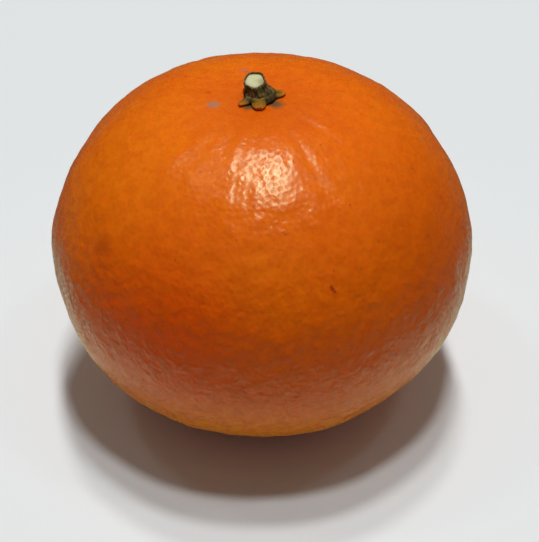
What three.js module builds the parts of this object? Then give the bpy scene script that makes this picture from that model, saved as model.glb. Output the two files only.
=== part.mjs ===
// A whole mandarin as picked: the pored fruit, the five-lobed calyx on its stem end, and the short cut
// stub of its stem with the bare wood showing. Millimetres, +Z up along the core. The origin is on the
// surface that the fruit rests on, under the middle of its width.
import * as THREE from 'three';
import { ConvexGeometry } from 'three/addons/geometries/ConvexGeometry.js';
import { mergeVertices } from 'three/addons/utils/BufferGeometryUtils.js';

// ---- driving dimensions -------------------------------------------------------------------------
const WIDTH = 70; // across the widest part of the fruit
const CROWN = 30.15; // from the widest part up to the stem end, before the top is sunk
const BELLY = 29.9; // from the widest part down to the blossom end, before the flat spot
const CROWN_FULLNESS = 2.0; // superellipse exponents: 2 is an ellipse, more is squarer
const BELLY_FULLNESS = 2.08;
const REST_FLAT = 0.9; // how much of the belly the resting spot flattens away

const SADDLE = { depth: 2.0, spread: 10.5 }; // the sunken ground round the stem
const BLOSSOM_PIT = { depth: 0.9, spread: 2.4 }; // the small dent of the blossom end, underneath
const STYLE_SCAR = { height: 0.35, radius: 1.1 }; // the nub that the style left in that dent

const SEGMENTS = { count: 10, swell: 0.16 }; // the segments inside barely show through the rind
const CREASES = { count: 9, depth: 0.5, from: 3.4, to: 11 }; // furrows that run out from the calyx

// Gentle bulges (+) and flats (-) that make the fruit uneven: degrees round from +X, degrees above the
// widest part, degrees of spread, and millimetres of height.
const UNEVEN = [
  { round: 12, up: 12, spread: 14, height: -0.12 },
  { round: 87, up: 52, spread: 16, height: -0.3 },
  { round: 139, up: 40, spread: 11, height: 0.3 },
  { round: 171, up: 11, spread: 9, height: -0.4 },
  { round: 181, up: 0, spread: 9, height: 0.25 },
  { round: 193, up: -16, spread: 10, height: -0.3 },
  { round: 217, up: -38, spread: 12, height: 0.6 },
  { round: 265, up: -52, spread: 12, height: -0.25 },
  { round: 298, up: -49, spread: 10, height: 0.3 },
  { round: 318, up: -40, spread: 13, height: -0.55 },
  { round: 345, up: -18, spread: 11, height: 0.2 },
  { round: 62, up: 16, spread: 15, height: 0.35 },
  { round: 98, up: -22, spread: 14, height: -0.35 },
  { round: 50, up: -38, spread: 12, height: 0.35 },
  { round: 140, up: -28, spread: 13, height: 0.3 },
];

// The oil glands of the rind, larger than life, and how much smaller they are round both ends.
const PORES = { count: 1850, depth: 0.22, tries: 14, relaxations: 2, seed: 11 };
const POLE_FINENESS = { scale: 0.5, spread: 0.24 };

const CALYX = { x: -0.45, y: 0, disc: 2.6, thickness: 1, edge: 0.34, clearance: 0.15, sides: 90 };
// Sepals: degrees round from +X, degrees from rib to side, length beyond the disc and plumpness.
const SEPALS = [
  { round: 271, half: 30, length: 1.25, plump: 0.5 },
  { round: 11, half: 29, length: 1.45, plump: 0.25 },
  { round: 70, half: 30, length: 0.4, plump: 0.2 },
  { round: 140, half: 30, length: 0.3, plump: 0.2 },
  { round: 221, half: 20, length: 1.35, plump: 0.3 },
];
const CALYX_RINGS = { underside: [0.35, 0.7, 1], topside: [1, 0.94, 0.84, 0.74, 0.64, 0.54] }; // of its reach

const STEM = { footRadius: 2.1, waistRadius: 1.9, tipRadius: 1.75, height: 2.1, seatGap: 0.1, sides: 42 };
const STEM_FOOT = { x: -0.53, y: 0 }; // where the stub's axis stands on the calyx
const STEM_TIP = { x: -1.14, y: -0.05 }; // and where the cut ends it
const STEM_RINGS = [0, 0.12, 0.28, 0.5, 0.75, 0.95]; // of its height, below the cut
const BARK_RIBS = { count: 5, share: 0.05, from: 270 }; // down the bark: share of its radius, degrees round
const CUT_SLOPE = { x: 0.05, y: 0.3 }; // the cut falls towards -X and -Y
const BARK = { thickness: 0.25, chamfer: 0.07, seat: 0.5 }; // round the cut, and the depth inside it
const WOOD_SLOPE = { x: 0.05, y: 0.22 }; // the bare wood lies flatter, below the bark at the back
const WOOD = { drop: 0.12, dome: 0.06, clearance: 0.05, rounding: 0.2, flat: 0.8 };

const DEGREE = Math.PI / 180;
const HALF = WIDTH / 2;
const WAIST_HEIGHT = BELLY - REST_FLAT; // of the widest part above the surface it rests on

// ---- small helpers --------------------------------------------------------------------------------
function seededRandom(seed) {
  let state = seed;
  return () => {
    state = (state * 1664525 + 1013904223) % 4294967296;
    return state / 4294967296;
  };
}

function direction(roundDegrees, upDegrees) {
  const flat = Math.cos(upDegrees * DEGREE);
  return new THREE.Vector3(
    flat * Math.cos(roundDegrees * DEGREE),
    flat * Math.sin(roundDegrees * DEGREE),
    Math.sin(upDegrees * DEGREE),
  );
}

const bell = (distance, spread) => Math.exp(-((distance / spread) ** 2));

// A closed mesh from a list of points and triples of their numbers.
function solid(points, triangles) {
  const geometry = new THREE.BufferGeometry().setFromPoints(points);
  geometry.setIndex(triangles.flat());
  geometry.computeVertexNormals();
  return geometry;
}

// Rings of points, each list the same length, skinned from the first ring to the last and closed by a
// point at each end. Rings run anticlockwise seen from above, and from the bottom to the top.
function skinRings(rings, bottom, top) {
  const sides = rings[0].length;
  const points = [...rings.flat(), bottom, top];
  const [bottomIndex, topIndex] = [points.length - 2, points.length - 1];
  const last = (rings.length - 1) * sides;
  const triangles = [];
  for (let side = 0; side < sides; side++) {
    const next = (side + 1) % sides;
    triangles.push([bottomIndex, next, side], [topIndex, last + side, last + next]);
    for (let base = 0; base < last; base += sides) {
      triangles.push([base + side, base + next, base + sides + next]);
      triangles.push([base + side, base + sides + next, base + sides + side]);
    }
  }
  return solid(points, triangles);
}

// ---- the fruit ------------------------------------------------------------------------------------
const unevenDirections = UNEVEN.map(({ round, up }) => direction(round, up));

// The rind's surface along a unit direction from the middle of the fruit's widest part.
function rindPoint(towards) {
  const above = towards.z >= 0;
  const [height, fullness] = above ? [CROWN, CROWN_FULLNESS] : [BELLY, BELLY_FULLNESS];
  const across = Math.hypot(towards.x, towards.y);
  const round = Math.atan2(towards.y, towards.x);
  let reach = ((across / HALF) ** fullness + (Math.abs(towards.z) / height) ** fullness) ** (-1 / fullness);
  reach += SEGMENTS.swell * across ** 2 * Math.cos(SEGMENTS.count * round + 0.8 * Math.sin(2 * round));
  UNEVEN.forEach(({ spread, height: rise }, i) => {
    reach += rise * bell(towards.angleTo(unevenDirections[i]), spread * DEGREE);
  });
  const point = towards.clone().multiplyScalar(reach);
  point.z += WAIST_HEIGHT;
  const off = Math.hypot(point.x, point.y);
  if (above) point.z -= SADDLE.depth * bell(off, SADDLE.spread) + crease(off, round);
  else point.z = Math.max(point.z, 0) + blossomEnd(off);
  return point;
}

// Depth of the creases round the calyx: narrow valleys, unevenly spaced, that die out down the shoulder.
function crease(off, round) {
  const along = THREE.MathUtils.clamp((off - CREASES.from) / (CREASES.to - CREASES.from), 0, 1);
  const wave = Math.abs(Math.sin((CREASES.count * round) / 2 + 0.9 * Math.sin(2 * round + 1)));
  return CREASES.depth * Math.sin(Math.PI * along) * (1 - along) * (1 - wave) ** 2 * 2;
}

function blossomEnd(off) {
  const scar = STYLE_SCAR.height * bell(off, STYLE_SCAR.radius);
  return off > 2.2 * BLOSSOM_PIT.spread ? 0 : BLOSSOM_PIT.depth * bell(off, BLOSSOM_PIT.spread) - scar;
}

const poreScale = (towards) =>
  1 - (1 - POLE_FINENESS.scale) * bell(1 - Math.abs(towards.z), POLE_FINENESS.spread ** 2);

// Pore centres as unit directions, evenly but irregularly spread: each new one is the roomiest of
// several random tries.
function scatterPores() {
  const random = seededRandom(PORES.seed);
  const pores = [];
  while (pores.length < PORES.count) {
    let best = null;
    let mostRoom = -1;
    for (let n = 0; n < PORES.tries; n++) {
      const tried = new THREE.Vector3();
      tried.setFromSphericalCoords(1, Math.acos(1 - 2 * random()), 2 * Math.PI * random());
      tried.set(tried.x, tried.z, tried.y);
      let room = Infinity;
      for (const pore of pores) room = Math.min(room, pore.distanceToSquared(tried));
      room /= poreScale(tried) ** 2;
      if (room > mostRoom) [best, mostRoom] = [tried, room];
    }
    pores.push(best);
  }
  return pores;
}

// The Delaunay net of points on the unit sphere: the points, the triangles between neighbours as
// triples of their numbers, and the middle of each triangle.
function netOf(directions) {
  const hull = new ConvexGeometry(directions);
  hull.deleteAttribute('normal');
  const net = mergeVertices(hull, 1e-6);
  const position = net.getAttribute('position');
  const index = net.index.array;
  const pores = [];
  for (let i = 0; i < position.count; i++) pores.push(new THREE.Vector3().fromBufferAttribute(position, i));
  const corners = [];
  for (let t = 0; t < index.length; t += 3) corners.push([index[t], index[t + 1], index[t + 2]]);
  const ridges = corners.map(([a, b, c]) => pores[a].clone().add(pores[b]).add(pores[c]).normalize());
  return { pores, corners, ridges };
}

// Evens out the net by moving every pore to the middle of the ridge points round it.
function relax({ pores, corners, ridges }) {
  const moved = pores.map(() => new THREE.Vector3());
  corners.forEach((three, t) => three.forEach((i) => moved[i].add(ridges[t])));
  return netOf(moved.map((sum) => sum.normalize()));
}

// The rind as a net of shallow pores. Three pores that lie next to each other meet in one ridge point,
// and every pore is a fan of triangles from its low middle to the ridge points round it.
function makeFruit() {
  let net = netOf(scatterPores());
  for (let n = 0; n < PORES.relaxations; n++) net = relax(net);
  const { pores, corners, ridges } = net;
  const ridgeLeftOf = new Map(); // the ridge point on the left of each directed line between two pores
  corners.forEach((three, t) => {
    three.forEach((from, k) => ridgeLeftOf.set(`${from},${three[(k + 1) % 3]}`, pores.length + t));
  });
  const triangles = [];
  for (const [line, left] of ridgeLeftOf) {
    const [from, to] = line.split(',').map(Number);
    triangles.push([from, ridgeLeftOf.get(`${to},${from}`), left]);
  }
  const sunken = pores.map((towards) => {
    const point = rindPoint(towards);
    return point.addScaledVector(towards, -poreDepth(point, towards));
  });
  return solid([...sunken, ...ridges.map(rindPoint)], triangles);
}

// Pores fade out on the flat spot and under the calyx, and are shallower where they are smaller.
function poreDepth(point, towards) {
  const onFlat = THREE.MathUtils.smoothstep(point.z, 0.02, 1.2);
  const off = Math.hypot(point.x, point.y);
  const underCalyx = towards.z > 0 ? THREE.MathUtils.smoothstep(off, 3.5, 7) : 1;
  return PORES.depth * poreScale(towards) * onFlat * underCalyx;
}

// ---- the calyx ------------------------------------------------------------------------------------
const roundGap = (a, b) => Math.abs(((a - b + 540) % 360) - 180);

// How far the direction "round" (degrees) lies along a sepal: the sepal and 0 at its side to 1 at its rib.
function sepalAt(round) {
  const sepal = SEPALS.reduce((a, b) => (roundGap(round, a.round) < roundGap(round, b.round) ? a : b));
  const share = Math.min(roundGap(round, sepal.round) / sepal.half, 1);
  return { sepal, rib: Math.cos((Math.PI / 2) * share) ** 1.6 };
}

// The rind near a place on the calyx, given as a distance off its middle and the degrees round it.
function rindUnder(off, round) {
  const x = CALYX.x + off * Math.cos(round * DEGREE);
  const y = CALYX.y + off * Math.sin(round * DEGREE);
  return rindPoint(new THREE.Vector3(x, y, CROWN - SADDLE.depth).normalize());
}

const CALYX_TOP = rindUnder(0, 0).z + CALYX.clearance + CALYX.thickness;

// A ring of the calyx at a share of its reach. Its underside follows the rind; its top is level where
// the stem stands, then drops onto plump sepals that thin out to their edges.
function calyxRing(share, isTop) {
  const points = [];
  for (let side = 0; side < CALYX.sides; side++) {
    const round = (side * 360) / CALYX.sides;
    const { sepal, rib } = sepalAt(round);
    const off = share * (CALYX.disc + sepal.length * rib);
    const point = rindUnder(off, round);
    point.z += CALYX.clearance;
    if (isTop) {
      const swell = Math.sin((Math.PI / 2) * Math.min(1, 0.2 + 2.2 * (1 - share)));
      const sepalTop = point.z + CALYX.edge + sepal.plump * rib * swell;
      const drop = THREE.MathUtils.smoothstep(off / CALYX.disc, 0.9, 1.06);
      point.z = THREE.MathUtils.lerp(CALYX_TOP, sepalTop, drop);
    }
    points.push(point);
  }
  return points;
}

function makeCalyx() {
  const underside = CALYX_RINGS.underside.map((share) => calyxRing(share, false));
  const topside = CALYX_RINGS.topside.map((share) => calyxRing(share, true));
  const middle = rindUnder(0, 0);
  const bottom = middle.clone().setZ(middle.z + CALYX.clearance);
  return skinRings([...underside, ...topside], bottom, middle.clone().setZ(CALYX_TOP));
}

// ---- the stem -------------------------------------------------------------------------------------
// A point on the stub's axis at a share of its height, lifted by "rise".
function stemAxis(share, rise = 0) {
  const x = THREE.MathUtils.lerp(STEM_FOOT.x, STEM_TIP.x, share);
  const y = THREE.MathUtils.lerp(STEM_FOOT.y, STEM_TIP.y, share);
  return new THREE.Vector3(x, y, CALYX_TOP + STEM.seatGap + STEM.height * share + rise);
}

// A ring of the stub, "inset" in from the bark. Rings tilt more and more with the cut as they rise.
function stemRing(share, inset = 0, rise = 0, slope = CUT_SLOPE) {
  const flare = (STEM.footRadius - STEM.waistRadius) * (1 - share) ** 3;
  const radius = THREE.MathUtils.lerp(STEM.waistRadius, STEM.tipRadius, share) + flare - inset;
  const axis = stemAxis(share, rise);
  const points = [];
  for (let side = 0; side < STEM.sides; side++) {
    const round = (side * 2 * Math.PI) / STEM.sides;
    const ribTurn = BARK_RIBS.count * (round - BARK_RIBS.from * DEGREE) + 0.4 * Math.sin(round);
    const rib = 1 + BARK_RIBS.share * Math.cos(ribTurn);
    const out = new THREE.Vector3(radius * rib * Math.cos(round), radius * rib * Math.sin(round), 0);
    out.z = (slope.x * out.x + slope.y * out.y) * share ** 2;
    points.push(out.add(axis));
  }
  return points;
}

// The bark ends in a rim round the cut, with a shallow seat inside it for the bare wood.
function makeStem() {
  const rings = STEM_RINGS.map((share) => stemRing(share));
  rings.push(stemRing(1, BARK.chamfer), stemRing(1, BARK.thickness), stemRing(1, BARK.thickness, -BARK.seat));
  return skinRings(rings, stemAxis(0), stemAxis(1, -BARK.seat));
}

// The bare wood of the cut: a plug let into the bark, its face faintly domed and standing out in front.
function makeCutWood() {
  const inset = BARK.thickness + WOOD.clearance;
  const bottom = WOOD.clearance - BARK.seat;
  const faceRing = (further, dome) => stemRing(1, inset + further, dome * WOOD.dome - WOOD.drop, WOOD_SLOPE);
  const face = [faceRing(0, 0), faceRing(WOOD.rounding, 0.7), faceRing(WOOD.flat, 1)];
  const top = WOOD.dome - WOOD.drop;
  return skinRings([stemRing(1, inset, bottom), ...face], stemAxis(1, bottom), stemAxis(1, top));
}

// ---- the mandarin ---------------------------------------------------------------------------------
function piece(name, geometry, color, roughness) {
  const mesh = new THREE.Mesh(geometry, new THREE.MeshStandardMaterial({ color, roughness, metalness: 0 }));
  mesh.name = name;
  return mesh;
}

const mandarin = new THREE.Group();
mandarin.name = 'mandarin';
mandarin.add(
  piece('fruit', makeFruit(), 0xdb6a10, 0.42),
  piece('calyx', makeCalyx(), 0x75692a, 0.75),
  piece('stem', makeStem(), 0x4a4433, 0.8),
  piece('cut_wood', makeCutWood(), 0xcfd0a4, 0.7),
);

// Bring the middle of the fruit's uneven width over the origin.
const box = new THREE.Box3().setFromObject(mandarin.getObjectByName('fruit'));
const middle = box.getCenter(new THREE.Vector3());
mandarin.children.forEach((mesh) => mesh.geometry.translate(-middle.x, -middle.y, 0));

export default mandarin;
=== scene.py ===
import math

import bmesh
import bpy
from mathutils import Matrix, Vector, noise
from mathutils.bvhtree import BVHTree


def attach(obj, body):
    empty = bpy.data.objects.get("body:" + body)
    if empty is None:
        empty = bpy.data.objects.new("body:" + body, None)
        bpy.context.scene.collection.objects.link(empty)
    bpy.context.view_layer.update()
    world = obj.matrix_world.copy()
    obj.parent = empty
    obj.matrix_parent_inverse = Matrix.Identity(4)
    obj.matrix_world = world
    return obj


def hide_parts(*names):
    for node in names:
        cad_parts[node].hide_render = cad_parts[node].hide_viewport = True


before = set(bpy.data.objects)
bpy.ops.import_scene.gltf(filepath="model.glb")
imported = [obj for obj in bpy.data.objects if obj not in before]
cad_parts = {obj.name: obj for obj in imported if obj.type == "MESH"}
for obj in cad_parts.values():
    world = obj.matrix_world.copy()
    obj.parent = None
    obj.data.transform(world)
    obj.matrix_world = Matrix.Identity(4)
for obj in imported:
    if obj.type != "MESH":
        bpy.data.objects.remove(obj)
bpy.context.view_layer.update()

# The rind. One waxy skin all over the fruit, closely dented by its oil glands, drawn down round the
# stem and flat where the fruit rests. Its form is the solid's own, smoothed; every gland is a cell of
# the skin with a small round dent in its middle.
MM = 0.001
TOUCHING = 1e-7  # metres within which two corners of the solid's triangles are one
RIND_MIDDLE = Vector((0.1, 0.0, 29.0)) * MM  # inside the fruit, level with its widest part
RIND_REACH = 33 * MM  # from there to the skin, on average
BLUR_ROUNDS = 5  # take away the solid's coarse pores
PORE_FILL = 0.05 * MM  # gives back what the blurring takes off
HALVINGS = 2  # times that a solid's faces are halved to round them
PORE_SPACING = 0.86 * MM  # the least from one oil gland to the next
PORE_TRIES = 8.0  # glands tried for in a square of that side, before those too close are dropped
PORE_FLOOR = 0.46  # radius of a dent's floor, as a share of its cell's
PORE_DEPTH = 0.056 * MM  # of the deepest dents on the shoulders
SHALLOWEST_PORE = 0.35  # as a share of the deepest
RIPPLE = 0.24 * MM  # how far the skin rises and falls in ripples a few glands wide
RIPPLE_SIZE = 2.2 * MM
SWELL = 0.44 * MM  # and in wider swells, drawn out from the stem end to the blossom end
SWELL_SIZE = 2.8 * MM
SWELL_ROUND = 22 * MM  # their width is as given where the fruit is this far across from its core
SWELL_DRAW = 0.35  # and they are longer than wide by one over this
WAVE_LEVEL = 0.64  # of a wave's 0 to 1, where the skin lies as the solid has it
GRAIN_SIZE = 1.6 * MM  # of the faint unevenness between the glands
RIND_SEED = 5

# Where the ripples and dents set in: between two heights above the table, and between two distances
# from the fruit's axis, a fifth of them staying beside the calyx. The last pair keeps that to the stem
# end: it holds above the first height and not at all below the second.
TABLE_EDGE = (0.1 * MM, 2.5 * MM)
CALYX_EDGE = (3.5 * MM, 9 * MM, 0.2, 1.0)
STEM_END = (50 * MM, 30 * MM)
LOWEST_PLACE = (-1.0, -1.0, 0.0)  # metres; its last number keeps the skin out of the table

DEEP_ORANGE = (0.88, 0.156, 0.001, 1)
# a warmer tone in the mottle, and painted light in one patch
WARM_AND_LIT_ORANGE = (0.92, 0.204, 0.001, 1)
# painted shade: darker and redder, low on the rind
LOWER_SHADE_ORANGE = (0.82, 0.093, 0.001, 1)
RED_ORANGE = (0.86, 0.076, 0.001, 1)
# painted shade
PAINTED_SHADE_ORANGE = (0.68, 0.105, 0.001, 1)
# paler and yellower low down: partly the rind's own tone, partly painted light and reflection from the table
PALE_SHEEN_ORANGE = (0.84, 0.294, 0.012, 1)
UNDER_ORANGE = (0.94, 0.170, 0.040, 1)
# painted shade in the glands' dents
DENT_SHADE_ORANGE = (0.60, 0.066, 0.001, 1)
SHADE_ORANGE = (0.64, 0.088, 0.001, 1)
SCAR_GREY = (0.36, 0.21, 0.14, 1)
# partly corky scar, partly painted shadow under the sepals
CORK_AND_SHADOW_BROWN = (0.16, 0.080, 0.030, 1)
BRUISE_BROWN = (0.40, 0.046, 0.004, 1)
SPECK_BROWN = (0.36, 0.040, 0.004, 1)

# The skin's shader: a waxy gloss over rind that light soaks into.
WAX = {
    "IOR": 1.4,
    "Specular Tint": (0.78, 1.0, 0.64, 1),
    "Subsurface Weight": 0.6,
    "Subsurface Radius": (1.0, 0.3, 0.08),
    "Subsurface Scale": 1.2 * MM,
}

# What changes with the height above the table. Each goes from its third number, at the first height
# and below, to its fourth number, at the second height and above.
PORE_GROWTH = (22 * MM, 42 * MM, 1.5, 1.0)  # times the depth of the dents
GRAIN_DEPTH = (34 * MM, 50 * MM, 0.36 * MM, 0.09 * MM)
LOW_GLOSS = (14 * MM, 34 * MM, 0.06, 0.0)  # taken off the roughness
LOWER_SHADE_HEIGHTS = (24 * MM, 46 * MM, 0.9, 0.0)  # from here on, the share of a tone; this one is painted shade, darker and redder low down
PALE_SHEEN_BELLY = (8 * MM, 28 * MM, 1.0, 0.0)
UNDERSIDE = (5 * MM, 10 * MM, 1.0, 0.0)
SHADES = (26 * MM, 50 * MM, 0.48, 0.28)
DENT_SHADES = (20 * MM, 46 * MM, 0.34, 0.14)
SOFT = (0.3, 0.7)  # stretches of the noise's 0 to 1 that a ramp runs over: most of it, or its middle
CLEAR = (0.35, 0.65)
MOTTLE = (*SOFT, 0.1, 0.7)  # the share of the warm orange, by patches
DULNESS = (*SOFT, 0.23, 0.29)  # and the roughness
GLAND_DULNESS = (0.25, 0.9, 0.0, 0.07)  # what a dent adds to it, by its share of the full depth
DENT_SHADE_TONE = (0.2, 1.0)  # and the shares between which a dent's painted shade sets in
TONE_DRIFT = 9 * MM  # the waist's and the belly's heights wander by up to half of this
DRIFT_SIZE = 18 * MM  # over this far round the fruit
MOTTLE_SIZE = 14 * MM
SHADE_SIZE = 1.6 * MM
GLOSS_SIZE = 5 * MM

# Patches of another tone and of painted light and shade, and marks on the skin: degrees round from +X,
# degrees above the widest part, radius in millimetres, strength and colour.
TONE_AND_LIGHT_PATCHES = [
    # painted light on the upper left; a redder tone low on the left; painted shade on the right and beside
    # the stem
    (213, 56, 24, 0.6, WARM_AND_LIT_ORANGE),
    (241, 8, 22, 0.75, RED_ORANGE),
    (328, 14, 28, 0.75, PAINTED_SHADE_ORANGE),
    (265, 84, 17, 0.7, PAINTED_SHADE_ORANGE),
]
MARKS = [
    (193, 74.5, 1.5, 0.75, SCAR_GREY),
    (109, 72.5, 1.2, 0.3, SCAR_GREY),
    (169, 73, 0.8, 0.5, BRUISE_BROWN),
    # dark at the foot of the calyx: partly corky scar, partly painted shadow under the sepals
    (319, 84.1, 1.8, 0.95, CORK_AND_SHADOW_BROWN),
    (232, 83.2, 1.4, 1.0, CORK_AND_SHADOW_BROWN),
    (218, 24, 2.6, 0.45, BRUISE_BROWN),
    (332, 7, 1.5, 0.5, BRUISE_BROWN),
    (326, 25, 0.9, 0.4, BRUISE_BROWN),
    (216, -1, 0.8, 0.6, SPECK_BROWN),
    (289.1, 24.4, 0.40, 0.9, SPECK_BROWN),
    (289.4, 23.7, 0.50, 0.9, SPECK_BROWN),
    (289.8, 23.0, 0.40, 0.9, SPECK_BROWN),
    (277, 39.8, 0.30, 0.7, SPECK_BROWN),
    (277.8, 39.2, 0.30, 0.6, SPECK_BROWN),
    (290.7, 28.2, 0.28, 0.7, SPECK_BROWN),
    (307.6, 31.2, 0.28, 0.7, SPECK_BROWN),
    (338.9, 40, 0.30, 0.7, SPECK_BROWN),
    (296.5, 41.7, 0.26, 0.7, SPECK_BROWN),
    (285.6, -0.9, 0.32, 0.7, SPECK_BROWN),
    (276.3, -12.1, 0.32, 0.8, SPECK_BROWN),
    (264.2, 4.3, 0.26, 0.6, SPECK_BROWN),
    (286.6, -8.5, 0.26, 0.6, SPECK_BROWN),
    (288.7, -9, 0.26, 0.6, SPECK_BROWN),
    (257.3, -9.7, 0.30, 0.6, SPECK_BROWN),
    (302, 11.4, 0.26, 0.6, SPECK_BROWN),
]
PATCH_SOFTNESS = 1.0  # the share of the radius over which a patch fades in from its edge
MARK_SOFTNESS = 0.8
SPECK_RADIUS = 0.5  # millimetres; the marks up to this size have no frayed edge
FRAY = 0.9 * MM  # size and reach of the bites in the edges of the larger ones
SPECK_SPACING = 4.6 * MM  # between the fine specks that lie anywhere
SPECK_EDGE = (0.055, 0.03, 0.0, 0.6)  # in spacings: nothing outside the first, 0.6 inside the second


def add(tree, kind, inputs=None, **settings):
    """A node in a tree, with its settings made and its inputs linked or filled in."""
    made = tree.nodes.new(kind)
    for name, value in settings.items():
        setattr(made, name, value)
    for key, value in (inputs or {}).items():
        if isinstance(value, bpy.types.NodeSocket):
            tree.links.new(value, made.inputs[key])
        else:
            made.inputs[key].default_value = value
    return made


def maths(tree, operation, *values):
    return add(tree, "ShaderNodeMath", dict(enumerate(values)), operation=operation).outputs[0]


def vectors(tree, operation, *values):
    made = add(tree, "ShaderNodeVectorMath", dict(enumerate(values)), operation=operation)
    return made.outputs["Value" if operation in ("LENGTH", "DISTANCE") else "Vector"]


def scaled(tree, vector, factor):
    made = add(tree, "ShaderNodeVectorMath", {0: vector, "Scale": factor}, operation="SCALE")
    return made.outputs["Vector"]


def parts_of(tree, vector):
    return add(tree, "ShaderNodeSeparateXYZ", {0: vector}).outputs


def ramp(tree, value, low, high, to_low=0.0, to_high=1.0):
    """Smoothly from to_low, where the value is low or less, to to_high, where it is high or more."""
    limits = {"Value": value, "From Min": low, "From Max": high, "To Min": to_low, "To Max": to_high}
    made = add(tree, "ShaderNodeMapRange", limits, interpolation_type="SMOOTHSTEP")
    return made.outputs["Result"]


def wander(tree, where, size, detail=2.0):
    """Noise between 0 and 1, with features of that size in metres."""
    if isinstance(size, bpy.types.NodeSocket):
        scale = maths(tree, "DIVIDE", 1.0, size)
    else:
        scale = 1 / size
    settings = {"Vector": where, "Scale": scale, "Detail": detail}
    return add(tree, "ShaderNodeTexNoise", settings).outputs["Fac"]


def placed(name, data):
    """A new object in the scene."""
    made = bpy.data.objects.new(name, data)
    bpy.context.scene.collection.objects.link(made)
    return made


def meshed(name, shape):
    """A new object in the scene with a worked-out shape for its mesh."""
    mesh = bpy.data.meshes.new(name)
    shape.to_mesh(mesh)
    shape.free()
    return placed(name, mesh)


def merged_copy(node, name):
    """A new object with a CAD node's mesh, its loose triangles joined up."""
    shape = bmesh.new()
    shape.from_mesh(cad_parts[node].data)
    bmesh.ops.remove_doubles(shape, verts=shape.verts, dist=TOUCHING)
    return meshed(name, shape)


def settle_modifiers(piece):
    """Makes what the modifiers show the object's own mesh, and takes them off."""
    evaluated = piece.evaluated_get(bpy.context.evaluated_depsgraph_get())
    mesh = bpy.data.meshes.new_from_object(evaluated)
    piece.modifiers.clear()
    piece.data = mesh
    mesh.name = piece.name


def evened_form(tree, given, from_middle, towards):
    """The solid with its reach from the middle blurred until its coarse pores are gone, and rounded."""
    reach = {"Value": vectors(tree, "LENGTH", from_middle), "Iterations": BLUR_ROUNDS}
    even_reach = add(tree, "GeometryNodeBlurAttribute", reach, data_type="FLOAT").outputs[0]
    full_reach = maths(tree, "ADD", even_reach, given["Pore fill"])
    even_place = vectors(tree, "ADD", given["Middle"], scaled(tree, towards, full_reach))
    evened = add(tree, "GeometryNodeSetPosition", {"Geometry": given["Solid"], "Position": even_place})
    rounded = {"Mesh": evened.outputs[0], "Level": HALVINGS}
    return add(tree, "GeometryNodeSubdivisionSurface", rounded).outputs[0]


def gland_cells(tree, given, form, towards):
    """A ball of cells, one to a gland: glands scattered over the form, each with the ground nearest it."""
    spacing = given["Pore spacing"]
    scatter = {
        "Mesh": form,
        "Distance Min": spacing,
        "Density Max": maths(tree, "DIVIDE", PORE_TRIES, maths(tree, "MULTIPLY", spacing, spacing)),
        "Seed": given["Seed"],
    }
    scattered = add(tree, "GeometryNodeDistributePointsOnFaces", scatter, distribute_method="POISSON")
    glands = {"Geometry": scattered.outputs["Points"], "Position": towards}
    ball = add(tree, "GeometryNodeSetPosition", glands).outputs[0]
    net = add(tree, "GeometryNodeConvexHull", {"Geometry": ball}).outputs[0]
    return add(tree, "GeometryNodeDualMesh", {"Mesh": net}).outputs[0]


def floored(tree, given, cells):
    """Cells that each have a smaller floor, with its share of the full depth stored on it as sink."""
    chance = add(tree, "FunctionNodeRandomValue", {"Seed": given["Seed"]}, data_type="FLOAT")
    extruded = {"Mesh": cells, "Offset Scale": 0.0, "Individual": True}
    inset = add(tree, "GeometryNodeExtrudeMesh", extruded, mode="FACES").outputs
    narrowed = {"Geometry": inset["Mesh"], "Selection": inset["Top"], "Scale": given["Pore floor"]}
    skin = add(tree, "GeometryNodeScaleElements", narrowed, domain="FACE").outputs[0]
    depth_share = ramp(tree, chance.outputs["Value"], 0.0, 1.0, SHALLOWEST_PORE, 1.0)
    sunk = {"Geometry": skin, "Selection": inset["Top"], "Name": "sink", "Value": depth_share}
    noted = add(tree, "GeometryNodeStoreNamedAttribute", sunk, data_type="FLOAT", domain="POINT")
    return noted.outputs[0]


def relief(tree, given, place):
    """How far the skin stands off the form: its ripples and swells, less the dents."""
    across, deep, height = parts_of(tree, place)
    flat = add(tree, "ShaderNodeCombineXYZ", {0: across, 1: deep}).outputs[0]
    off_table = ramp(tree, height, *TABLE_EDGE)
    off_calyx = ramp(tree, vectors(tree, "LENGTH", flat), *CALYX_EDGE)
    off_calyx = maths(tree, "MAXIMUM", off_calyx, ramp(tree, height, *STEM_END))

    lengthwise = add(tree, "ShaderNodeCombineXYZ", {2: maths(tree, "MULTIPLY", height, SWELL_DRAW)})
    roundabout = scaled(tree, vectors(tree, "NORMALIZE", flat), SWELL_ROUND)
    drawn_out = vectors(tree, "ADD", roundabout, lengthwise.outputs[0])
    waves = 0.0
    for wave, along in (("Ripple", place), ("Swell", drawn_out)):
        wide = wander(tree, along, given[wave + " size"], detail=1.0)
        level = maths(tree, "SUBTRACT", wide, WAVE_LEVEL)
        waves = maths(tree, "MULTIPLY_ADD", level, given[wave], waves)

    sink = add(tree, "GeometryNodeInputNamedAttribute", {"Name": "sink"}, data_type="FLOAT").outputs[0]
    sunk = maths(tree, "MULTIPLY", sink, ramp(tree, height, *PORE_GROWTH))
    dents = maths(tree, "MULTIPLY", sunk, given["Pore depth"])
    share = maths(tree, "MULTIPLY", off_table, off_calyx)
    return maths(tree, "MULTIPLY", maths(tree, "SUBTRACT", waves, dents), share)


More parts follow.
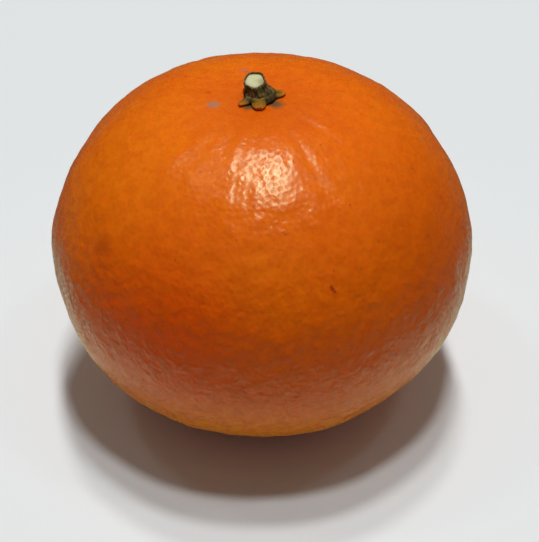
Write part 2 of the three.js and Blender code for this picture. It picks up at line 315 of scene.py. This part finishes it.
def laid_on(tree, given, form, skin, outward):
    """The ball's skin carried out to the form and given its relief."""
    cast = {
        "Target Geometry": form,
        "Source Position": given["Middle"],
        "Ray Direction": outward,
        "Ray Length": 2 * RIND_REACH,
    }
    landing = add(tree, "GeometryNodeRaycast", cast).outputs
    rise = relief(tree, given, landing["Hit Position"])
    reach = maths(tree, "ADD", landing["Hit Distance"], rise)
    place = vectors(tree, "ADD", given["Middle"], scaled(tree, outward, reach))
    above_table = vectors(tree, "MAXIMUM", place, LOWEST_PLACE)
    return add(tree, "GeometryNodeSetPosition", {"Geometry": skin, "Position": above_table}).outputs[0]


def pored_rind_tree():
    tree = bpy.data.node_groups.new("pored rind", "GeometryNodeTree")
    sockets = {
        "Solid": "Geometry",
        "Middle": "Vector",
        "Pore spacing": "Float",
        "Pore floor": "Float",
        "Pore depth": "Float",
        "Ripple": "Float",
        "Ripple size": "Float",
        "Swell": "Float",
        "Swell size": "Float",
        "Pore fill": "Float",
        "Seed": "Int",
        "Finish": "Material",
    }
    for name, kind in sockets.items():
        tree.interface.new_socket(name, in_out="INPUT", socket_type="NodeSocket" + kind)
    tree.interface.new_socket("Rind", in_out="OUTPUT", socket_type="NodeSocketGeometry")
    given = add(tree, "NodeGroupInput").outputs
    position = add(tree, "GeometryNodeInputPosition").outputs[0]
    from_middle = vectors(tree, "SUBTRACT", position, given["Middle"])
    towards = vectors(tree, "NORMALIZE", from_middle)

    form = evened_form(tree, given, from_middle, towards)
    cells = gland_cells(tree, given, form, towards)
    skin = floored(tree, given, cells)
    skin = laid_on(tree, given, form, skin, vectors(tree, "NORMALIZE", position))
    skin = add(tree, "GeometryNodeSetShadeSmooth", {"Geometry": skin, "Shade Smooth": True}).outputs[0]
    skin = add(tree, "GeometryNodeRealizeInstances", {"Geometry": skin}).outputs[0]
    dressed = {"Geometry": skin, "Material": given["Finish"]}
    skin = add(tree, "GeometryNodeSetMaterial", dressed).outputs[0]
    add(tree, "NodeGroupOutput", {"Rind": skin})
    return tree


def mixed(tree, share, first, second):
    """One colour over another by a share from 0 to 1."""
    mix = add(tree, "ShaderNodeMix", {0: share, 6: first, 7: second}, data_type="RGBA")
    return mix.outputs[2]


def stored(tree, name):
    """The number that a piece's points carry under that name."""
    return add(tree, "ShaderNodeAttribute", attribute_name=name).outputs["Fac"]


def new_finish(name, uniform):
    """A material with one shader, and the place on the piece that its patterns follow."""
    finish = bpy.data.materials.new(name)
    finish.use_nodes = True
    tree = finish.node_tree
    tree.nodes.clear()
    shader = add(tree, "ShaderNodeBsdfPrincipled", uniform)
    add(tree, "ShaderNodeOutputMaterial", {"Surface": shader.outputs[0]})
    where = add(tree, "ShaderNodeTexCoord").outputs["Object"]
    return finish, tree, shader, where


def on_rind(round_degrees, up_degrees):
    """A place on the rind, by its bearing from +X and its height above the widest part."""
    turn, up = math.radians(round_degrees), math.radians(up_degrees)
    towards = Vector((math.cos(up) * math.cos(turn), math.cos(up) * math.sin(turn), math.sin(up)))
    return rind_form.ray_cast(RIND_MIDDLE, towards)[0]


def spot(tree, where, centre, radius, softness):
    """1 inside a round spot and 0 outside it, fading over that share of its radius."""
    distance = vectors(tree, "DISTANCE", where, tuple(centre))
    return ramp(tree, distance, radius, radius * (1 - softness))


def marked(tree, where, colour, mark, softness):
    """A colour with one mark or patch of another tone on it."""
    round_degrees, up_degrees, radius, strength, tone = mark
    inside = spot(tree, where, on_rind(round_degrees, up_degrees), radius * MM, softness)
    return mixed(tree, maths(tree, "MULTIPLY", inside, strength), colour, tone)


def toned_and_shaded(tree, where, height):
    """The rind's orange, mottled, with patches of tone and of painted light and shade, painted shade low
    down and in fine flecks, and paler low down, partly painted reflection.
    """
    mottle = ramp(tree, wander(tree, where, MOTTLE_SIZE), *MOTTLE)
    colour = mixed(tree, mottle, DEEP_ORANGE, WARM_AND_LIT_ORANGE)
    drift = maths(tree, "SUBTRACT", wander(tree, where, DRIFT_SIZE), 0.5)
    drifted = maths(tree, "MULTIPLY_ADD", drift, TONE_DRIFT, height)
    colour = mixed(tree, ramp(tree, drifted, *LOWER_SHADE_HEIGHTS), colour, LOWER_SHADE_ORANGE)
    for patch in TONE_AND_LIGHT_PATCHES:
        colour = marked(tree, where, colour, patch, PATCH_SOFTNESS)
    colour = mixed(tree, ramp(tree, drifted, *PALE_SHEEN_BELLY), colour, PALE_SHEEN_ORANGE)
    colour = mixed(tree, ramp(tree, height, *UNDERSIDE), colour, UNDER_ORANGE)
    # painted shade in fine flecks, more of it low down
    fine = ramp(tree, wander(tree, where, SHADE_SIZE, detail=3.0), *CLEAR)
    shaded = maths(tree, "MULTIPLY", fine, ramp(tree, height, *SHADES))
    return mixed(tree, shaded, colour, SHADE_ORANGE)


def blemished(tree, where, colour):
    """A colour with the marks on it, and with fine specks anywhere."""
    shake = add(tree, "ShaderNodeTexNoise", {"Vector": where, "Scale": 1 / FRAY, "Detail": 2.0})
    shake = vectors(tree, "SUBTRACT", shake.outputs["Color"], (0.5, 0.5, 0.5))
    frayed = vectors(tree, "ADD", where, scaled(tree, shake, FRAY))
    for mark in MARKS:
        radius = mark[2]
        colour = marked(tree, frayed if radius > SPECK_RADIUS else where, colour, mark, MARK_SOFTNESS)
    cell = {"Vector": where, "Scale": 1 / SPECK_SPACING}
    specks = add(tree, "ShaderNodeTexVoronoi", cell).outputs["Distance"]
    return mixed(tree, ramp(tree, specks, *SPECK_EDGE), colour, SPECK_BROWN)


def orange_rind():
    finish, tree, shader, where = new_finish("orange rind", WAX)
    height = parts_of(tree, where)["Z"]
    sink = stored(tree, "sink")
    # painted shade in the dents, stronger low down
    gland = maths(tree, "MULTIPLY", ramp(tree, sink, *DENT_SHADE_TONE), ramp(tree, height, *DENT_SHADES))
    colour = mixed(tree, gland, toned_and_shaded(tree, where, height), DENT_SHADE_ORANGE)
    tree.links.new(blemished(tree, where, colour), shader.inputs["Base Color"])

    dulness = ramp(tree, wander(tree, where, GLOSS_SIZE), *DULNESS)
    dulness = maths(tree, "ADD", dulness, ramp(tree, sink, *GLAND_DULNESS))
    dulness = maths(tree, "SUBTRACT", dulness, ramp(tree, height, *LOW_GLOSS))
    tree.links.new(dulness, shader.inputs["Roughness"])

    depth = ramp(tree, height, *GRAIN_DEPTH)
    grain = {"Height": wander(tree, where, GRAIN_SIZE), "Distance": depth, "Strength": 1.0}
    grained = add(tree, "ShaderNodeBump", grain).outputs["Normal"]
    tree.links.new(grained, shader.inputs["Normal"])
    return finish


rind = merged_copy("fruit", "rind")
rind_form = BVHTree.FromObject(rind, bpy.context.evaluated_depsgraph_get())
rind_tree = pored_rind_tree()
rind_inputs = {
    "Middle": RIND_MIDDLE,
    "Pore spacing": PORE_SPACING,
    "Pore floor": PORE_FLOOR,
    "Pore depth": PORE_DEPTH,
    "Ripple": RIPPLE,
    "Ripple size": RIPPLE_SIZE,
    "Swell": SWELL,
    "Swell size": SWELL_SIZE,
    "Pore fill": PORE_FILL,
    "Seed": RIND_SEED,
    "Finish": orange_rind(),
}
shaper = rind.modifiers.new("pored rind", "NODES")
shaper.node_group = rind_tree
for socket in rind_tree.interface.items_tree:
    if socket.name in rind_inputs:
        shaper[socket.identifier] = rind_inputs[socket.name]
settle_modifiers(rind)
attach(rind, "root")
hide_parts("fruit")

# The calyx. The cup that held the flower, dried to a hard brown star of five blunt sepals that are
# pressed down on the rind and have grown together with the foot of the stem. Ochre on the sepals.
CALYX_MIDDLE = Vector((-0.35, 0.016, 57.5)) * MM
# Sepals: degrees round from +X, degrees from rib to side, and millimetres out to where the ochre starts.
SEPALS = ((271, 30, 1.9), (11, 27, 2.7), (70, 28, 2.4), (140, 28, 2.4), (221, 19, 2.8))
SEPAL_ONSET = 0.5 * MM  # the brown gives way to the ochre over this length
SEPAL_SIDE = (0.95, 0.6)  # and sideways between these shares of the way from the rib to the side
SEPAL_FRAY = 0.3  # of that way, by which the unevenness shifts it
WRINKLE = 0.10 * MM  # depth of the wrinkles that run out along the sepals
CRUMB = 0.05 * MM  # and of the unevenness all over
CRUMB_SIZE = 0.5 * MM
CRUMB_LAYERS = (0.8, 2.0, 3)  # how fast the finer layers fade, how much finer each is, and their number
WRINKLED_FROM = (2.0 * MM, 2.4 * MM)  # off the middle, where the wrinkles and the unevenness set in
COLLAR = 0.16 * MM  # how far the cup rises against the foot of the stem
COLLAR_INSIDE = (1.2 * MM, 1.9 * MM)  # off the middle, the collar's inner slope and its outer one
COLLAR_OUTSIDE = (2.8 * MM, 2.3 * MM)
RAGGED = 0.30 * MM  # how far the cup's edge is eaten in at most
RAGGED_SIZE = 1.1 * MM
RAGGED_SHARE = 0.1  # the more, the more of the edge is eaten
RAGGED_FROM = (2.2 * MM, 2.8 * MM)  # off the middle, where that sets in
NARROWED = 0.40 * MM  # and how much closer its edge is on the left, where it has no sepal
LEFT_DEGREES = (38, 12)  # to either side of the left, where that sets in and where it is full
FACES_UP = (0.2, 0.8)  # the upward part of a surface's direction, from a slope to the top
FACES_DOWN = (0.2, -0.2)  # and from a slope to the underside

OLIVE = (0.18, 0.135, 0.008, 1)
OCHRE = (0.30, 0.140, 0.008, 1)
RUST = (0.34, 0.085, 0.005, 1)
# partly the tips' own orange-brown, partly painted glow of the rind's light
TIP_GLOW_ORANGE = (0.60, 0.150, 0.008, 1)
HUSK_BROWN = (0.095, 0.064, 0.014, 1)
HUSK_GREY = (0.28, 0.195, 0.080, 1)
# painted shade: in the calyx's creases and wrinkles and on its undersides, and in the bark's furrows
CREVICE_SHADE_BROWN = (0.014, 0.008, 0.003, 1)
OCHRE_FROM = (2.3 * MM, 3.5 * MM)  # off the middle, from olive to ochre
TIP_FROM = (3.3 * MM, 4.1 * MM, 0.0, 0.8)  # and on to the tips' orange, partly their own, partly painted glow of the rind's light
RUST_SIZE = 0.7 * MM
RUST_SHARE = 0.45
STREAK_NOISE = (-0.1, 0.4)  # of the noise's -1 to 1, from no grey streak to a full one
WRINKLE_NOISE = (0.1, 0.6)  # and from no wrinkle to its darkest painted shade
SEPAL_CREASE = (0.6, 1.0)  # shares of the way from the rib to the side, where the crease's painted shade sets in
CREVICE_SHADE_SHARE = 0.6  # the most painted shade that a wrinkle or a crease has
OCHRE_BELOW = 0.9  # the share of the underside's painted shade that the ochre keeps off


def refined(node, name):
    """A finer, rounded copy of a CAD node."""
    piece = merged_copy(node, name)
    rounder = piece.modifiers.new("rounder", "SUBSURF")
    rounder.levels = rounder.render_levels = HALVINGS
    settle_modifiers(piece)
    piece.data.shade_smooth()
    return piece


def shares(piece, name):
    """A new number between 0 and 1 on every point of a piece, for its finish to read."""
    return piece.data.attributes.new(name, "FLOAT", "POINT").data


def points_of(piece):
    """Every point of a piece, with the way that the surface faces there."""
    points = piece.data.vertices
    return zip(points, [point.normal.copy() for point in points])


def step(value, low, high):
    """Smoothly from 0, where the value is low, to 1, where it is high."""
    share = min(max((value - low) / (high - low), 0), 1)
    return share * share * (3 - 2 * share)


def crumbly(place, size):
    """Rough noise between about -1 and 1, with features of that size in metres."""
    return noise.fractal(place / size, *CRUMB_LAYERS)


def rays(turn, off, wide, long, seed):
    """Noise in streaks out from a middle, so many degrees wide and metres long."""
    return noise.noise(Vector((turn / wide, off / long, seed)))


def degrees_apart(turn, other):
    return abs((turn - other + 180) % 360 - 180)


def dried_husk():
    finish, tree, shader, where = new_finish("dried husk", {"Roughness": 0.7, "Specular IOR Level": 0.12})
    from_middle = vectors(tree, "SUBTRACT", where, tuple(CALYX_MIDDLE))
    off = vectors(tree, "LENGTH", vectors(tree, "MULTIPLY", from_middle, (1, 1, 0)))
    patchy = ramp(tree, wander(tree, where, RUST_SIZE, detail=3.0), *CLEAR)
    ochre = mixed(tree, ramp(tree, off, *OCHRE_FROM), OLIVE, OCHRE)
    ochre = mixed(tree, maths(tree, "MULTIPLY", patchy, RUST_SHARE), ochre, RUST)
    ochre = mixed(tree, ramp(tree, off, *TIP_FROM), ochre, TIP_GLOW_ORANGE)
    brown = mixed(tree, stored(tree, "streak"), HUSK_BROWN, HUSK_GREY)
    colour = mixed(tree, stored(tree, "sepal"), brown, ochre)
    # painted shade in the creases and wrinkles and on the undersides
    colour = mixed(tree, stored(tree, "furrow_shade"), colour, CREVICE_SHADE_BROWN)
    tree.links.new(colour, shader.inputs["Base Color"])
    return finish


calyx = refined("calyx", "calyx_husk")
husk_shares = zip(*(shares(calyx, name) for name in ("sepal", "streak", "furrow_shade")))
for (point, facing), (sepal, streak, furrow_shade) in zip(points_of(calyx), husk_shares):
    out = point.co - CALYX_MIDDLE
    off = math.hypot(out.x, out.y)
    turn = math.degrees(math.atan2(out.y, out.x))
    aside, root = min((degrees_apart(turn, rib) / half, root) for rib, half, root in SEPALS)
    wrinkle = rays(turn, off, wide=5, long=2 * MM, seed=1.0)
    rough = crumbly(point.co, CRUMB_SIZE)

    ochre_out = step(off, root * MM, root * MM + SEPAL_ONSET)
    sepal.value = ochre_out * step(aside + SEPAL_FRAY * rough, *SEPAL_SIDE)
    streak.value = step(rays(turn, off, wide=3, long=3 * MM, seed=5.0), *STREAK_NOISE)
    # painted shade: dark on the undersides, less under the ochre, and in the creases and wrinkles
    under = step(facing.z, *FACES_DOWN) * (1 - OCHRE_BELOW * sepal.value)
    dark = max(step(aside, *SEPAL_CREASE), step(wrinkle, *WRINKLE_NOISE))
    furrow_shade.value = max(dark * CREVICE_SHADE_SHARE, under)

    top = step(facing.z, *FACES_UP) * step(off, *WRINKLED_FROM)
    point.co -= facing * top * (WRINKLE * max(wrinkle, 0) + CRUMB * (0.5 + 0.5 * rough))
    eaten = min(max(crumbly(point.co, RAGGED_SIZE) + RAGGED_SHARE, 0), 1)
    closer = NARROWED * step(degrees_apart(turn, 180), *LEFT_DEGREES)
    outward = Vector((out.x, out.y, 0)) / off
    point.co -= outward * (RAGGED * eaten + closer) * step(off, *RAGGED_FROM)
    slopes = step(off, *COLLAR_OUTSIDE) * step(off, *COLLAR_INSIDE)
    point.co.z += COLLAR * step(facing.z, *FACES_UP) * slopes
calyx.data.materials.append(dried_husk())
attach(calyx, "root")
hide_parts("calyx")

# The stub of the stem. Woody bark with uneven furrows from top to bottom, spread a little at its foot
# and cut off at the top, where it stands as a thin torn rim round the bare wood.
STEM_FOOT = Vector((-0.43, 0.016)) * MM  # where its axis stands
STEM_LEAN = Vector((-0.61, -0.05)) * MM  # and how far its top is aside from there
BARK_FURROW = 0.16 * MM
FURROW_NARROW = 2.2  # the more, the narrower the furrows
COARSE_FURROWS = 1.6  # how much the coarse and the fine unevenness each have in them
FINE_FURROWS = 0.6
FURROW_SHADE_SHARE = 0.8  # the most painted shade that the deepest furrows take
BARK_OUTSIDE = (1.3 * MM, 1.6 * MM)  # off the axis, from the bark's inner wall to its outside
BARK_SPREAD = 0.20 * MM
SPREAD_OUTSIDE = (1.6 * MM, 2.1 * MM)  # off the axis, where the spreading sets in
SPREAD_TOP = 0.35  # shares of the stub's height, where the spread ends and where the foot does
FOOT_TOP = 0.2
BARK_FOOT = 0.12 * MM  # how deep the foot is set into the calyx

BARK_GREY = (0.34, 0.225, 0.080, 1)
BARK_DARK = (0.080, 0.055, 0.014, 1)
BARK_RED = (0.20, 0.072, 0.032, 1)
BARK_GREEN = (0.085, 0.095, 0.016, 1)
STREAK_SIZE = 0.45 * MM
STREAK_DRAW = 0.35  # the streaks are longer than wide by one over this
TINGE_SIZE = 1.6 * MM
GREEN_TINGE = (0.50, 0.62, 0.0, 0.7)  # of the noise's 0 to 1, and the share of the colour there
RED_TINGE = (0.48, 0.38, 0.0, 0.7)


def round_stub(turn, share, around, along):
    """Noise on the bark without a seam, with more change round the stub or along it."""
    return noise.noise(Vector((around * math.cos(turn), around * math.sin(turn), along * share)))


def furrowed_bark():
    finish, tree, shader, where = new_finish("furrowed bark", {"Roughness": 0.75, "Specular IOR Level": 0.3})
    stretched = add(tree, "ShaderNodeMapping", {"Vector": where, "Scale": (1, 1, STREAK_DRAW)}).outputs[0]
    streaks = ramp(tree, wander(tree, stretched, STREAK_SIZE, detail=3.0), *CLEAR)
    colour = mixed(tree, streaks, BARK_DARK, BARK_GREY)
    tinge = wander(tree, where, TINGE_SIZE, detail=1.0)
    colour = mixed(tree, ramp(tree, tinge, *GREEN_TINGE), colour, BARK_GREEN)
    colour = mixed(tree, ramp(tree, tinge, *RED_TINGE), colour, BARK_RED)
    # painted shade in the furrows
    colour = mixed(tree, stored(tree, "furrow_shade"), colour, CREVICE_SHADE_BROWN)
    tree.links.new(colour, shader.inputs["Base Color"])
    return finish


stem = refined("stem", "stem_bark")
foot_level = min(point.co.z for point in stem.data.vertices)
rim_level = max(point.co.z for point in stem.data.vertices)
for point, furrow_shade in zip(stem.data.vertices, shares(stem, "furrow_shade")):
    share = (point.co.z - foot_level) / (rim_level - foot_level)
    out = point.co.xy - (STEM_FOOT + STEM_LEAN * share)
    turn = math.atan2(out.y, out.x)
    ridge = round_stub(turn, share, around=3.2, along=1.3)
    fine = round_stub(turn, share, around=8, along=3)
    groove = 1 - min(1, abs(COARSE_FURROWS * ridge + FINE_FURROWS * fine) * FURROW_NARROW)
    # painted shade in the furrows
    furrow_shade.value = groove * FURROW_SHADE_SHARE
    cut_in = BARK_FURROW * groove * step(out.length, *BARK_OUTSIDE)
    spread = BARK_SPREAD * (1 - step(share, 0, SPREAD_TOP)) * step(out.length, *SPREAD_OUTSIDE)
    point.co += (out.normalized() * (spread - cut_in)).to_3d()
    point.co.z -= BARK_FOOT * step(share, FOOT_TOP, 0)
stem.data.materials.append(furrowed_bark())
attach(stem, "root")
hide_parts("stem")

# The cut wood. The stem's bare inside, on a slanting cut that faces the front: pale green and moist in
# the middle, browner where it has dried beside the bark, and torn into faint fibres by the clippers.
CUT_MIDDLE = Vector((-1.04, -0.034, 60.0)) * MM
CUT_REACH = 1.5 * MM  # from there to the bark
FIBRE = 0.05 * MM  # depth of the torn fibres
FIBRE_SIZE = 0.22 * MM
CUT_FACE = (0.3, 0.8)  # the upward part of the surface's direction, from the plug's side to its top

WOOD_PALE = (0.66, 0.63, 0.37, 1)
WOOD_GREEN = (0.40, 0.42, 0.20, 1)
WOOD_DRY = (0.33, 0.24, 0.10, 1)
WOOD_GRAIN_SIZE = 0.25 * MM
WOOD_GRAIN_SHARE = 0.35  # of the green in the faint grain
GREEN_RIM = (0.6, 1.0, 0.0, 0.8)  # shares of the reach to the bark, and of the green there
DRY_SPOT = Vector((1.1, -0.2, 0)) * MM  # from the middle of the cut
DRY_RADIUS = 1.2 * MM
DRY_SOFTNESS = 0.9  # the share of that radius over which it fades
DRY_SHARE = 0.9


def bare_wood():
    finish, tree, shader, where = new_finish("bare wood", {"Roughness": 0.6, "Specular IOR Level": 0.3})
    fibres = ramp(tree, wander(tree, where, WOOD_GRAIN_SIZE, detail=3.0), *CLEAR)
    colour = mixed(tree, maths(tree, "MULTIPLY", fibres, WOOD_GRAIN_SHARE), WOOD_PALE, WOOD_GREEN)
    colour = mixed(tree, ramp(tree, stored(tree, "rim"), *GREEN_RIM), colour, WOOD_GREEN)
    dried = spot(tree, where, CUT_MIDDLE + DRY_SPOT, DRY_RADIUS, DRY_SOFTNESS)
    colour = mixed(tree, maths(tree, "MULTIPLY", dried, DRY_SHARE), colour, WOOD_DRY)
    tree.links.new(colour, shader.inputs["Base Color"])
    return finish


wood = refined("cut_wood", "cut_wood_face")
for (point, facing), rim in zip(points_of(wood), shares(wood, "rim")):
    out = point.co.xy - CUT_MIDDLE.xy
    rim.value = min(out.length / CUT_REACH, 1)
    torn = crumbly(point.co, FIBRE_SIZE)
    point.co.z -= FIBRE * (0.5 + 0.5 * torn) * step(facing.z, *CUT_FACE)
wood.data.materials.append(bare_wood())
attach(wood, "root")
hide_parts("cut_wood")

# The table, a plain pale top in three sheets. The camera sees the wide one and the far one, and only the
# wide one throws light up into the rind. The rind's gloss mirrors the sheet close round the fruit alone,
# which thins out, because in a dim room the table further off stays dark there.
TABLE_WHITE = (0.775, 0.80, 0.82, 1)
GLOSS_WHITE = (0.66, 0.90, 0.67, 1)
GLOSS_SHEET = (46 * MM, 90 * MM)  # where it starts to thin out, and where it ends
GLOSS_WIDER = 1.1  # how much further it reaches to the sides than to the front and back
WIDE_TABLE = 150 * MM
FAR_TABLE = 4.0
SHEET_GAP = 0.1 * MM
SHEET_SIDES = 96


def table_finish(white, fading=False):
    finish, tree, shader, where = new_finish("pale table", {"Roughness": 0.7, "Base Color": white})
    if fading:
        narrowed = vectors(tree, "MULTIPLY", where, (1 / GLOSS_WIDER, 1.0, 1.0))
        from_middle = vectors(tree, "LENGTH", narrowed)
        tree.links.new(ramp(tree, from_middle, *GLOSS_SHEET, 1.0, 0.0), shader.inputs["Alpha"])
    return finish


def round_sheet(name, radius, height, finish, **seen_by):
    shape = bmesh.new()
    bmesh.ops.create_circle(shape, cap_ends=True, segments=SHEET_SIDES, radius=radius)
    bmesh.ops.translate(shape, verts=shape.verts, vec=(0, 0, height))
    sheet = meshed(name, shape)
    sheet.data.materials.append(finish)
    for ray, sees in seen_by.items():
        setattr(sheet, "visible_" + ray, sees)


in_gloss = table_finish(GLOSS_WHITE, fading=True)
on_view = table_finish(TABLE_WHITE)
reach = GLOSS_WIDER * GLOSS_SHEET[1]
round_sheet("gloss_sheet", reach, 0.0, in_gloss, camera=False, diffuse=False, shadow=False)
round_sheet("wide_table", WIDE_TABLE, -SHEET_GAP, on_view, glossy=False, shadow=False)
round_sheet("far_table", FAR_TABLE, -2 * SHEET_GAP, on_view, glossy=False, diffuse=False)

# The light: three round lamps in a row overhead, a little aside from each other, and a weaker one on
# either side, in a dim room.
LAMP_DISTANCE = 4.0
LAMP_WIDTH = 0.40
LAMP_POWER = 12.3 * LAMP_DISTANCE**2  # watts for a lamp that alone would light the table fully
# Degrees that each hangs to the right of straight up, degrees behind it, and its share of the light.
LAMPS = {
    "front_lamp": (3.0, -7.0, 0.240),
    "middle_lamp": (1.6, 5.2, 0.250),
    "back_lamp": (0.1, 15.3, 0.165),
    "left_lamp": (-26, 9, 0.025),
    "right_lamp": (24, -2, 0.025),
}
CEILING_LIGHT = (0.135, 0.150, 0.136, 1)
WALL_LIGHT = (0.03, 0.03, 0.03, 1)
TABLE_LIGHT = (0.08, 0.10, 0.075, 1)  # what the rind's gloss shows of the table beyond the near sheet
BACKDROP_WHITE = (0.72, 0.735, 0.74, 1)  # only the camera sees it
TABLE_TO_WALL = (-0.25, 0.0)  # upward part of a direction, from the table's light to the walls'
WALL_TO_CEILING = (0.1, 0.7)  # and on to the ceiling's

for name, (right, back, share) in LAMPS.items():
    lamp = bpy.data.lights.new(name, "AREA")
    lamp.shape = "DISK"
    lamp.size = LAMP_WIDTH
    lamp.energy = LAMP_POWER * share
    hung = placed(name, lamp)
    up = Vector((math.tan(math.radians(right)), math.tan(math.radians(back)), 1)).normalized()
    hung.location = RIND_MIDDLE + up * LAMP_DISTANCE
    hung.rotation_euler = up.to_track_quat("Z", "Y").to_euler()

room = bpy.data.worlds.new("room")
room.use_nodes = True
room_tree = room.node_tree
upward = parts_of(room_tree, add(room_tree, "ShaderNodeTexCoord").outputs["Generated"])["Z"]
light = mixed(room_tree, ramp(room_tree, upward, *TABLE_TO_WALL), TABLE_LIGHT, WALL_LIGHT)
light = mixed(room_tree, ramp(room_tree, upward, *WALL_TO_CEILING), light, CEILING_LIGHT)
seen = add(room_tree, "ShaderNodeLightPath").outputs["Is Camera Ray"]
light = mixed(room_tree, seen, light, BACKDROP_WHITE)
room_tree.links.new(light, room_tree.nodes["Background"].inputs["Color"])
bpy.context.scene.world = room

# The camera, looking down on the fruit from the front, with the fruit a little to the left and high in
# its frame.
VIEW_DOWN = math.radians(38)
VIEW_DISTANCE = 260 * MM
LENS = 103.0  # millimetres
WAIST = Vector((0.1, 0.016, 29.0)) * MM  # the middle of the fruit, at its widest part
AIM_RIGHT = 1.17  # millimetres from there to what the camera is turned to
AIM_BELOW = 5.2
backwards = Vector((0, -math.cos(VIEW_DOWN), math.sin(VIEW_DOWN)))
upwards = Vector((0, math.sin(VIEW_DOWN), math.cos(VIEW_DOWN)))
aim = WAIST + Vector((AIM_RIGHT, 0, 0)) * MM - upwards * AIM_BELOW * MM
eye = bpy.data.cameras.new("view")
eye.lens = LENS
camera = placed("view", eye)
camera.location = WAIST + backwards * VIEW_DISTANCE
camera.rotation_euler = (aim - camera.location).to_track_quat("-Z", "Y").to_euler()
bpy.context.scene.camera = camera
bpy.context.scene.view_settings.view_transform = "Standard"
